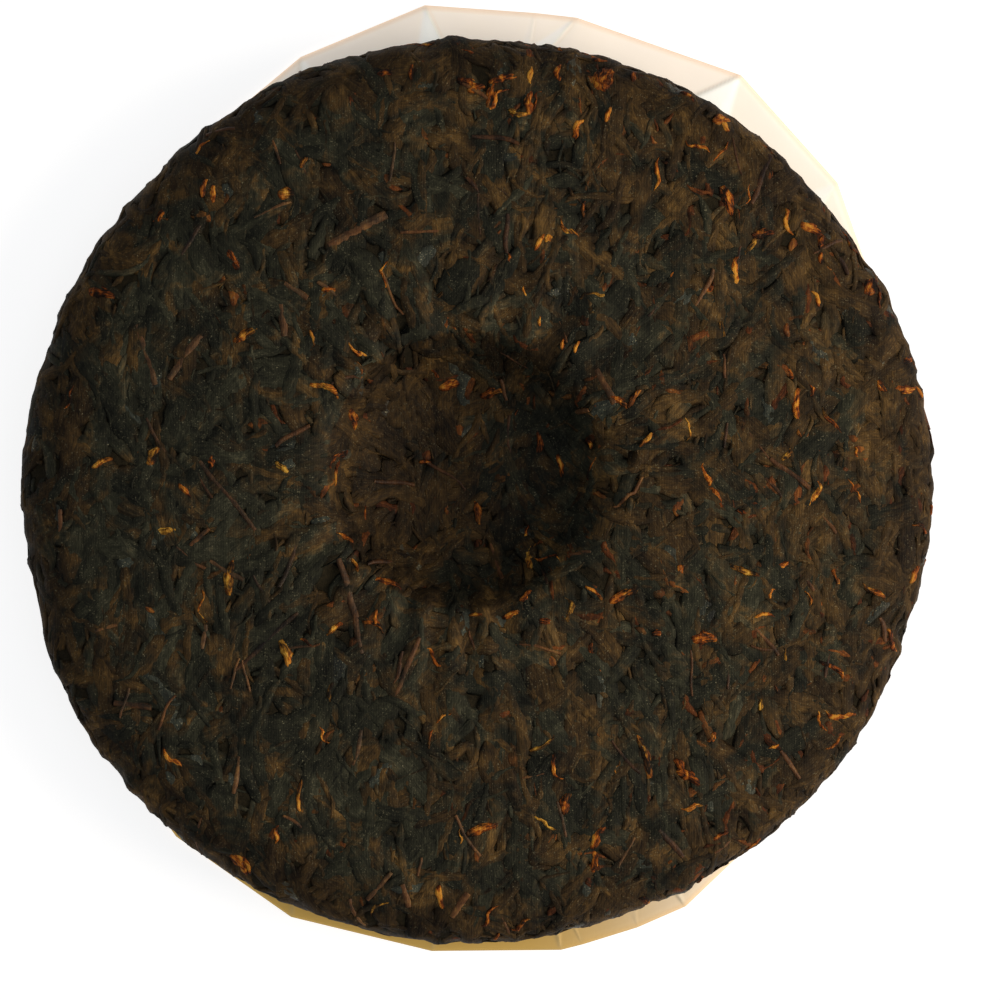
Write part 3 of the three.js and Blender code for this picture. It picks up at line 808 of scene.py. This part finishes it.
bladeForm = leafForm("bladeForm", (-0.5, -0.45, -0.34, -0.2, -0.07, 0.07, 0.2, 0.34, 0.45, 0.5),
                     (-0.5, -0.4, -0.2, 0, 0.2, 0.4, 0.5), 2.0)
foldForm = leafForm("foldForm", (-0.5, -0.46, -0.37, -0.27, -0.16, -0.05, 0.06, 0.17, 0.27, 0.37, 0.46, 0.5),
                    (-0.5, -0.3, 0, 0.3, 0.5), 1.7)
stripForm = leafForm("stripForm", (-0.5, -0.44, -0.3, -0.1, 0.1, 0.3, 0.44, 0.5), (-0.5, -0.34, 0, 0.34, 0.5), 1.8)
crumbForm = leafForm("crumbForm", (-0.5, -0.3, 0.3, 0.5), (-0.5, -0.2, 0.2, 0.5), 2.0)
stalk = stalkForm("stalkForm", (-0.5, -0.49, -0.3, -0.1, 0.1, 0.3, 0.49, 0.5), 7)

broadLeaves = {
    "seed": 11, "perSquareMetre": 60000.0, "apart": 3.9, "length": (8, 19), "width": (4, 8), "thickness": 0.2,
    "lift": (0.0, 0.22), "slope": 0.12, "roll": 0.12, "bow": 0.12, "sway": 0.3, "ragged": 2.4, "raggedSize": 4.5,
    "tip": 0.45, "ridge": 0.5, "ridgePitch": 1.9, "wave": 0.35, "radial": 0.8,
}
layPieces("broadLeaves", finishes["ripeLeafBlade"], bladeForm, [], broadLeaves)

# long blades folded or rolled lengthwise, the soft ridges of the pressed surface
foldedLeaves = {
    "seed": 64, "perSquareMetre": 60000.0, "apart": 3.6, "length": (8, 22), "width": (2, 4.8), "thickness": 0.32,
    "lift": (-0.02, 0.14), "slope": 0.15, "roll": 0.1, "bow": 0.14, "sway": 0.5, "ragged": 1.8, "raggedSize": 4,
    "tip": 0.3, "ridge": 0.25, "ridgePitch": 1.3, "wave": 0.35, "radial": 0.85,
}
layPieces("foldedLeaves", finishes["ripeLeafBlade"], foldForm, [], foldedLeaves)

stripLeaves = {
    "seed": 42, "perSquareMetre": 40000.0, "apart": 3.4, "length": (4, 12), "width": (0.8, 2), "thickness": 0.26,
    "lift": (0.0, 0.16), "slope": 0.15, "roll": 0.1, "bow": 0.18, "sway": 0.5, "ragged": 1.4, "raggedSize": 2.6,
    "tip": 0.3, "ridge": 0.3, "ridgePitch": 0.9, "wave": 0.3, "radial": 0.9,
}
layPieces("stripLeaves", finishes["ripeLeafBlade"], stripForm, [], stripLeaves)

leafCrumbs = {
    "seed": 77, "perSquareMetre": 26000.0, "apart": 1.6, "length": (1.4, 5), "width": (0.5, 1.6), "thickness": 0.2,
    "lift": (0.05, 0.2), "slope": 0.1, "roll": 0.1, "bow": 0.15, "sway": 0.3, "ragged": 0.8, "raggedSize": 1.3,
    "tip": 0.4, "ridge": 0.0, "ridgePitch": 1, "wave": 0.15, "radial": 0.6,
}
layPieces("leafCrumbs", finishes["ripeLeafBlade"], crumbForm, [], leafCrumbs)

brownLeaves = {
    "seed": 5, "cover": "warmSide", "perSquareMetre": 40000.0, "apart": 2.6, "length": (3, 10), "width": (1, 3),
    "thickness": 0.2, "lift": (-0.02, 0.16), "slope": 0.25, "roll": 0.15, "bow": 0.18, "sway": 0.4, "ragged": 1.8,
    "raggedSize": 2.6, "tip": 0.2, "ridge": 0.4, "ridgePitch": 1.1, "wave": 0.3, "radial": 0.8,
}
layPieces("brownLeaves", finishes["brownLeafBlade"], stripForm, [], brownLeaves)

# x and y on the back in mm, heading in degrees, length and width in mm, tone 0 to 1
budMarks = [
    (28, 91, 70, 7, 5, 0.3), (11.5, 85.5, 90, 5.5, 2.2, 0.6), (54, 82, 25, 5, 3, 0.5), (6, 91, 15, 7, 2, 0.6),
    (74, 58, -20, 6, 2.6, 0.7), (-51, 34.5, 35, 6.5, 2.2, 0.45), (-82.5, 44, -10, 6.5, 3, 0.2),
    (-54.5, -19, 85, 8.5, 2.4, 0.5), (-41.5, -35.5, -70, 7, 2.4, 0.95), (-39, -67, 88, 7.5, 1.2, 0.6),
    (1, -74, 20, 8, 2.4, 0.1), (32.5, -22.5, 25, 8, 2.2, 0.3), (50, -32, 5, 6, 3, 0.4),
    (37.5, -58, -75, 11, 2.4, 0.1), (47, -62.5, -30, 6.5, 2.6, 0.3), (19.5, -68.5, 80, 5.5, 2.6, 0.2),
    (26.5, -76, 65, 6, 2.2, 0.7), (-71, 8, 60, 5, 2.6, 0.3), (-52, -82, -50, 6, 2.2, 0.6),
    (-26.5, 16, -60, 5.5, 2.4, 0.4), (29, 83, 70, 4, 1.4, 0.7), (0, 89, 20, 4, 2, 0.3), (23.6, 62, 90, 4, 1, 0.5),
    (86.8, 45.5, 60, 6, 3.4, 0.2), (14, 55, 60, 5, 1.4, 0.8), (14.1, 37.3, 90, 2.5, 0.7, 1.0),
    (-31, -30, 40, 5, 1.2, 0.6), (-22, -27.7, 90, 4, 1, 0.7), (0, -27, 0, 4, 1.2, 0.6),
    (53.8, -75.7, 30, 4, 1.4, 0.5), (96.5, -18, 60, 5, 2, 0.7), (61.5, -78, 50, 5, 1.6, 0.4),
    (-63.7, 0, -50, 5, 1.6, 0.5), (-82.4, 6.5, 30, 5, 1.6, 0.8), (19.2, 32.5, 80, 3, 1, 0.8),
    (22, 31.8, 70, 3, 1, 0.9), (-30.8, 4, 80, 6, 1.4, 0.45), (-28.4, -9.8, -20, 5, 1.4, 0.5),
    (-24.2, -4.5, 80, 4, 1, 0.5), (-26.5, -16, -60, 4, 1.2, 0.5), (-5.9, 23.4, 20, 5, 2.8, 0.75),
    (3.5, 21.8, 20, 6, 2.4, 0.5), (18.7, 5.4, -75, 6, 1.6, 0.35), (-11.2, 6.5, 0, 3, 1, 0.3),
    (31.5, 20, -30, 5, 1.8, 0.5), (34.5, 20.5, 60, 5, 1.6, 0.3), (-18.9, -19.7, -15, 7, 2, 0.2),
    (7.8, -26.8, 20, 5, 1.6, 0.15), (26, -22, -35, 5, 1, 0.6), (-35.9, 33.4, -75, 4, 1, 0.6),
    (-32.2, 44.4, 0, 3.5, 1.5, 0.4), (-41.7, 65.7, 0, 4, 3, 0.45), (-60, 66.8, 80, 4.5, 1.5, 0.2),
    (-38, 72.4, 60, 3, 1.4, 0.6), (63.2, 56.9, 10, 6, 2.4, 0.1), (55.5, 64.2, -70, 7, 3, 0.1),
    (75.8, 51.4, 80, 3, 1.5, 0.3), (-14.4, 92.4, 90, 4, 1.4, 0.25), (-1.5, 90, -20, 6, 2.4, 0.15),
    (3.3, 87.5, 75, 7, 2.2, 0.15), (34.6, 91.7, 80, 4, 1.6, 0.4), (46.7, 86.9, -40, 4, 1.6, 0.3),
    (-19.9, 92.4, 0, 4, 2, 0.1),
]
goldenBuds = {
    "seed": 9, "cover": "warmSide", "perSquareMetre": 9000.0, "apart": 4, "length": (2, 8), "width": (0.6, 2),
    "thickness": 0.3, "lift": (0.15, 0.3), "slope": 0.2, "roll": 0.1, "bow": 0.24, "sway": 0.9, "ragged": 1.4,
    "raggedSize": 1.8, "tip": 0.3, "ridge": 0.3, "ridgePitch": 0.9, "wave": 0.3, "radial": 0.5,
}
layPieces("goldenBuds", finishes["goldenBudDown"], bladeForm, budMarks, goldenBuds)

stalkMarks = [
    (-27, -25.5, -76, 20.5, 1.9, 0.6), (-72.5, 30, -71, 14, 2, 0.75), (-64, 29.5, 56, 12, 2, 0.7),
    (-54.5, -1, -49, 19.5, 1.4, 0.4), (-26, 57.5, 30, 14.5, 2.6, 0.7), (28.5, 23, -61, 9, 1.9, 0.75),
    (-15, -38.5, 68, 14, 1.4, 0.6), (69, 4, -35, 11, 1.5, 0.5), (-3.5, -91, 59, 6.5, 2, 0.9),
    (-15.5, -89, -75, 5.5, 1.8, 0.8), (-46, -33, 44, 19, 1.4, 0.1), (63, 69, 68, 13, 1.6, 0.3),
    (-75.5, -47, -5, 8.5, 1.8, 0.5), (43, -77.5, -47, 8.5, 1.6, 0.3), (-39.5, 44, -32, 6, 1.6, 0.95),
    (-81.3, -30.1, 18, 5, 1.2, 0.8), (64, -33, -47, 8, 1.2, 0.6), (-56.4, 79.4, 8, 7, 1.2, 0.6),
    (77.5, 54, 27, 8, 1.2, 0.4), (-60.6, -10, 42, 5.6, 1.2, 0.6), (-53, -40, 75, 7, 0.7, 0.8),
    (-50.5, -40.5, 105, 7, 0.7, 0.8), (-42.5, 37.5, -80, 7, 1.9, 0.7), (-44.7, 62, 25, 9, 0.9, 0.95),
]
leafStalks = {
    "seed": 23, "perSquareMetre": 2600.0, "apart": 6, "length": (4, 11), "width": (0.7, 1.3), "thickness": 0.9,
    "lift": (-0.1, 0.2), "slope": 0.4, "roll": 0.0, "bow": 0.06, "sway": 0.15, "ragged": 0.7, "raggedSize": 4,
    "tip": 0.75, "ridge": 0.0, "ridgePitch": 1, "wave": 0.3, "radial": 0.7,
}
layPieces("leafStalks", finishes["driedStalkBark"], stalk, stalkMarks, leafStalks)

# leaves whose pale grey colour is painted sheen
sheenPaintedMarks = [
    (-40, 6, 80, 12, 6, 0.6), (32, 31, 40, 12, 7, 0.8), (-31, -41, 75, 12, 6, 0.5), (-17, -62, 85, 9, 3, 0.4),
    (10, -52, 80, 12, 4, 0.3), (58, 52, 20, 8, 5, 0.2), (-5, 58, 30, 9, 5, 0.3),
]
bloomedLeaves = {
    "seed": 31, "perSquareMetre": 2500.0, "apart": 6, "length": (5, 11), "width": (2, 4.5), "thickness": 0.16,
    "lift": (0.05, 0.18), "slope": 0.2, "roll": 0.15, "bow": 0.12, "sway": 0.3, "ragged": 2.8, "raggedSize": 3,
    "tip": 0.2, "ridge": 0.4, "ridgePitch": 1.3, "wave": 0.3, "radial": 0.8,
}
layPieces("bloomedLeaves", finishes["sheenPaintedLeafBlade"], bladeForm, sheenPaintedMarks, bloomedLeaves)
for form in (bladeForm, foldForm, stripForm, crumbForm, stalk):
    bpy.data.objects.remove(form)

# the bare body itself, a little under the leaves, rough with fine leaf
corePlaces = np.array([v.co for v in body.data.vertices])
pushOut(body.data, cake["grit"] * bumps(corePlaces, cake["gritSize"], 8) - cake["sunk"])
body.data.materials.append(coreMaterial())
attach(body, "root")
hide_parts("tea_cake")
print("pressedCore done")


# The wrapper: cotton paper folded flat, its edge straight from pleat to pleat
wrapper = {
    "corners": [
        (5, 97), (22, 98), (40.5, 105), (57.5, 109), (78, 107), (83, 106.5), (96, 108), (112, 103.5),
        (129, 98.5), (147, 97.5), (165, 97), (184, 97), (206, 99.5), (229, 101), (246.5, 102.5),
        (264.5, 102), (280.5, 103), (283.3, 102.8), (290.3, 102.7), (296.8, 102.7), (310, 98.5), (328, 97.5),
        (346, 97),
    ],  # azimuth in degrees and distance in mm of each pleat's corner
    "middle": 2 * mm,  # thickness of the gathered layers under the cake
    "puff": 4.5 * mm,
    "edge": 1.5 * mm,
    # for each corner: how far its crease and the pleat's soft side lean from the way inward, and how
    # clearly the pleat shows
    "pleats": [
        (0.3, -0.3, 0.5), (-0.3, 0.3, 0.4), (0.35, -0.35, 0.7), (-0.65, 0.3, 1.0), (-0.5, -1.0, 0.7),
        (0.0, -0.25, 0.3), (0.37, -0.25, 1.0), (-0.45, 0.4, 0.8), (0.3, -0.4, 0.6), (0.3, -0.3, 0.5),
        (-0.3, 0.3, 0.5), (0.3, -0.3, 0.5), (-0.3, 0.3, 0.6), (0.3, -0.2, 0.7), (0.25, -0.2, 1.0),
        (-0.2, 0.25, 1.0), (0.1, -0.25, 1.0), (0.3, 0.1, 0.6), (-0.3, 0.2, 0.4), (0.2, -0.2, 1.0),
        (0.3, -0.3, 0.7), (-0.3, 0.3, 0.6), (0.3, -0.3, 0.5),
    ],
    "pleatReach": (18 * mm, 30 * mm),
    "linesPerSide": 66,
    "pleat": 0.4 * mm,
    "creaseSoft": 0.4 * mm,  # half the width over which the paper drops at a crease
    "foldSoft": 0.8 * mm,
    "creaseShadeWidth": 0.6 * mm,  # half the width of the painted shade along a crease
    "crinkle": 0.1 * mm,
    "crinkleSize": 7 * mm,
    "crinkleReach": (60 * mm, 85 * mm),  # smooth under the cake
}


def wrapperPiece():
    w = wrapper
    corners = np.array([
        (distance * mm * math.cos(math.radians(azimuth)), distance * mm * math.sin(math.radians(azimuth)))
        for azimuth, distance in w["corners"]
    ])
    sides = w["linesPerSide"]
    along = np.arange(sides) / sides
    following = np.roll(corners, -1, axis=0)
    outline = (corners[:, None] + (following - corners)[:, None] * along[None, :, None]).reshape(-1, 2)
    lines = len(outline)
    # rows from the middle out and back below, as shares of the outline. Those without a height of
    # their own take it from the knots
    top = [(q, w["middle"]) for q in (0.2, 0.5, 0.7)]
    top += [(q, None) for q in (0.78, 0.84, *np.linspace(0.87, 0.995, 32))]
    under = [(1.0, w["edge"] * 0.5), (0.993, 0.0), (0.9, 0.0), (0.6, 0.0), (0.3, 0.0)]
    knotShare = [0.7, 0.82, 0.88, 0.94, 0.985, 0.995]
    knotHeight = [w["middle"], w["puff"] * 0.85, w["puff"], w["puff"] * 0.64, w["edge"] * 1.3, w["edge"]]
    rows = []
    for q, z in top + under:
        height = np.interp(q, knotShare, knotHeight) if z is None else z
        rows.append(np.c_[outline * q, np.full(lines, height)])
    vertices = np.vstack([*rows, [(0, 0, w["middle"])], [(0, 0, 0)]])
    # each pleat: a facet that rises from its soft side to the crease and drops there
    topCount = len(top) * lines
    upper = vertices[:topCount]
    radius = np.hypot(upper[:, 0], upper[:, 1])
    lift = np.zeros(topCount)
    double = np.zeros(len(vertices))
    creaseShaded = np.zeros(len(vertices))
    for corner, (creaseLean, softLean, clear) in zip(corners, w["pleats"]):
        inward = -corner / np.hypot(*corner)
        sideways = np.array([-inward[1], inward[0]])
        depth = (upper[:, :2] - corner) @ inward
        aside = (upper[:, :2] - corner) @ sideways
        toCrease = (creaseLean * depth - aside) * np.sign(creaseLean - softLean)
        fromSoft = (aside - softLean * depth) * np.sign(creaseLean - softLean)
        inPleat = (smoothStep(toCrease, -w["creaseSoft"], w["creaseSoft"])
                   * smoothStep(fromSoft, -w["foldSoft"], w["foldSoft"]))
        inReach = clear * (1 - smoothStep(depth, *w["pleatReach"]))
        inPleat = inPleat * smoothStep(depth, -0.2 * mm, 1.5 * mm) * inReach
        climb = np.clip(fromSoft / np.maximum(abs(creaseLean - softLean) * depth, 0.5 * mm), 0, 1)
        lift += w["pleat"] * inPleat * climb
        double[:topCount] += inPleat
        # painted shade along the crease
        line = np.exp(-(toCrease / w["creaseShadeWidth"]) ** 2)
        creaseShaded[:topCount] += inReach * line * smoothStep(depth, -0.2 * mm, mm)
    slow = bumps(upper, w["crinkleSize"], 21) * w["crinkle"] * smoothStep(radius, *w["crinkleReach"])
    vertices[:topCount, 2] += lift + slow
    made = newObject("paperWrapper", vertices, ringFaces(len(rows), lines))
    storeNumbers(made.data, "doublePaper", np.clip(double, 0, 1))
    storeNumbers(made.data, "creaseShare", np.clip(creaseShaded, 0, 1))
    share = np.r_[np.repeat([q for q, z in top + under], lines), 0, 0]
    storeNumbers(made.data, "edgeShare", smoothStep(share, 0.985, 1.0))
    return made


# Cotton paper: thin, long-fibred and uncoated, warm white where one sheet lies over brown layers,
# cooler and whiter where it lies double, a little rosy where light comes through the folded edge.
# On one side it is darker yellow brown: partly a tea stain, partly the painted shadow of the cake
paperLook = {
    "tones": ["#E2D7C8", "#E4DACD", "#E6DDD1"],
    "cloudSize": 14 * mm,
    "double": "#E8E7E0",
    "edge": "#DDBB9B",
    "edgeAmount": 0.7,
    # painted shade along the creases
    "crease": "#8E8264",
    "creaseShadeAmount": 0.3,
    # tea stain and painted shadow of the cake, on one side
    "stainAndShadow": "#A48546",
    "stainAndShadowSide": 246.0,  # azimuth in degrees
    "stainAndShadowShare": (0.32, 0.9),  # cosine of the angle from that side where it begins and is full
    "paintedGlow": 0.46,  # painted light: the paper glows as if the lit sheet below shone through it
    "fibreSize": 0.6 * mm,
    "fibreStretch": (1, 0.18, 1),
    "fibreDepth": 0.05 * mm,
}


def paperMaterial():
    material, tree, shader = newMaterial("thinCottonPaper", 0.85, 0.1)
    add = partial(addNode, tree)
    look = paperLook
    where = add("TexCoord").node.outputs["Object"]
    double, crease, edge = [add("Attribute", {"attribute_name": held}).node.outputs["Fac"]
                            for held in ("doublePaper", "creaseShare", "edgeShare")]
    cloud = add("TexNoise", {}, {"Vector": where, "Scale": 1 / look["cloudSize"], "Detail": 3.0})
    colour = toneRamp(tree, cloud, look["tones"])
    # tea stain and painted shadow of the cake, darker and yellow brown on one side
    side = math.radians(look["stainAndShadowSide"])
    flat = add("VectorMath", "MULTIPLY", [where, (1, 1, 0)])
    outward = add("VectorMath", "NORMALIZE", [flat])
    toSide = add("VectorMath", "DOT_PRODUCT", [outward, (math.cos(side), math.sin(side), 0)]).node.outputs["Value"]
    stainAndShadow = add("MapRange", smooth, [toSide, *look["stainAndShadowShare"], 0.0, 1.0])
    # painted shade along the creases
    creaseShadeAmount = add("Math", "MULTIPLY", [crease, look["creaseShadeAmount"]])
    edgeAmount = add("Math", "MULTIPLY", [edge, look["edgeAmount"]])
    for amount, tint in ((double, "double"), (edgeAmount, "edge"), (stainAndShadow, "stainAndShadow"), (creaseShadeAmount, "crease")):
        colour = add("Mix", colours, {"Factor": amount, "A": colour, "B": linearColour(look[tint])})
    tree.links.new(colour, shader.inputs["Base Color"])
    # painted light: the paper glows in its own colour
    tree.links.new(colour, shader.inputs["Emission Color"])
    shader.inputs["Emission Strength"].default_value = look["paintedGlow"]
    fibrePlace = add("VectorMath", "MULTIPLY", [where, look["fibreStretch"]])
    fibres = add("TexNoise", {}, {"Vector": fibrePlace, "Scale": 1 / look["fibreSize"], "Detail": 4.0})
    bump = add("Bump", {}, {"Strength": 0.35, "Distance": look["fibreDepth"], "Height": fibres})
    tree.links.new(bump, shader.inputs["Normal"])
    return material


paper = wrapperPiece()
paper.data.materials.append(paperMaterial())
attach(paper, "root")
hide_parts("paper_wrapper")
print("paperWrapper", len(paper.data.polygons), "faces")

# matt white acrylic sheet, lit from below
sheetMaterial, sheetTree, sheetShader = newMaterial("opalAcrylicSheet", 0.9, 0.1)
sheetShader.inputs["Base Color"].default_value = linearColour(studio["floorColour"])
sheetShader.inputs["Emission Color"].default_value = (1.0, 1.0, 1.0, 1.0)
sheetShader.inputs["Emission Strength"].default_value = studio["floorGlow"]
floor.data.materials.append(sheetMaterial)
